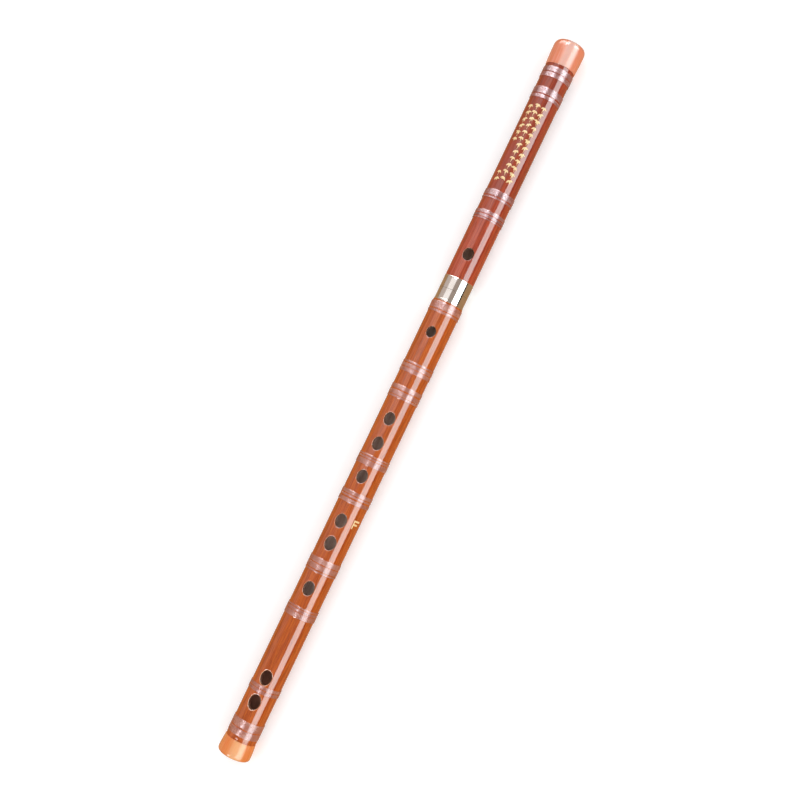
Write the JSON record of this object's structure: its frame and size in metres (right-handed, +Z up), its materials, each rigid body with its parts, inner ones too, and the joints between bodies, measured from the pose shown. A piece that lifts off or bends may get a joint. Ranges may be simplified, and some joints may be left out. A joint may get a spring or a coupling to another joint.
{
  "type": "dizi",
  "caption": "Transverse bamboo flute in two sections joined by a sliding metal tenon, with oval holes, wound thread bindings, a metal band at the joint and flared end rings.",
  "frame": {"origin": "on the surface the flute lies on, below the middle of its length", "axes": "+X along the flute towards its foot end, +Z up through the row of holes"},
  "size_m": [0.6, 0.0264, 0.0263],
  "materials": {
    "red_bamboo": "glossy lacquer over reddish bamboo",
    "orange_bamboo": "glossy lacquer over orange-brown bamboo",
    "thread": "fine silk thread under clear lacquer",
    "end_ring": "polished translucent resin",
    "ferrule_metal": "polished nickel silver",
    "joint_brass": "drawn tube, satin",
    "cork": "matte cork"
  },
  "bodies": {
    "foot_section": {"socket_tube": "joint_brass", "foot_ferrule": "ferrule_metal", "foot_tube": "orange_bamboo", "foot_end_ring": "end_ring", "foot_binding_1": "thread", "foot_binding_2": "thread", "foot_binding_3": "thread", "foot_binding_4": "thread", "foot_binding_5": "thread", "foot_binding_6": "thread", "foot_binding_7": "thread", "foot_binding_8": "thread", "foot_binding_9": "thread"},
    "joint_tenon": {"tenon_tube": "joint_brass"},
    "head_section": {"head_end_ring": "end_ring", "head_tube": "red_bamboo", "head_plug": "cork", "head_ferrule": "ferrule_metal", "head_binding_1": "thread", "head_binding_2": "thread", "head_binding_3": "thread", "head_binding_4": "thread"}
  },
  "joints": [
    {"name": "section_slide", "type": "slide", "parent": "foot_section", "child": "joint_tenon", "axis": [-1, 0, 0], "range_m": [0, 0.03]},
    {"name": "head_turn", "type": "hinge", "parent": "joint_tenon", "child": "head_section", "pos_m": [-0.091, 0, 0.01317], "axis": [1, 0, 0], "continuous": true}
  ]
}
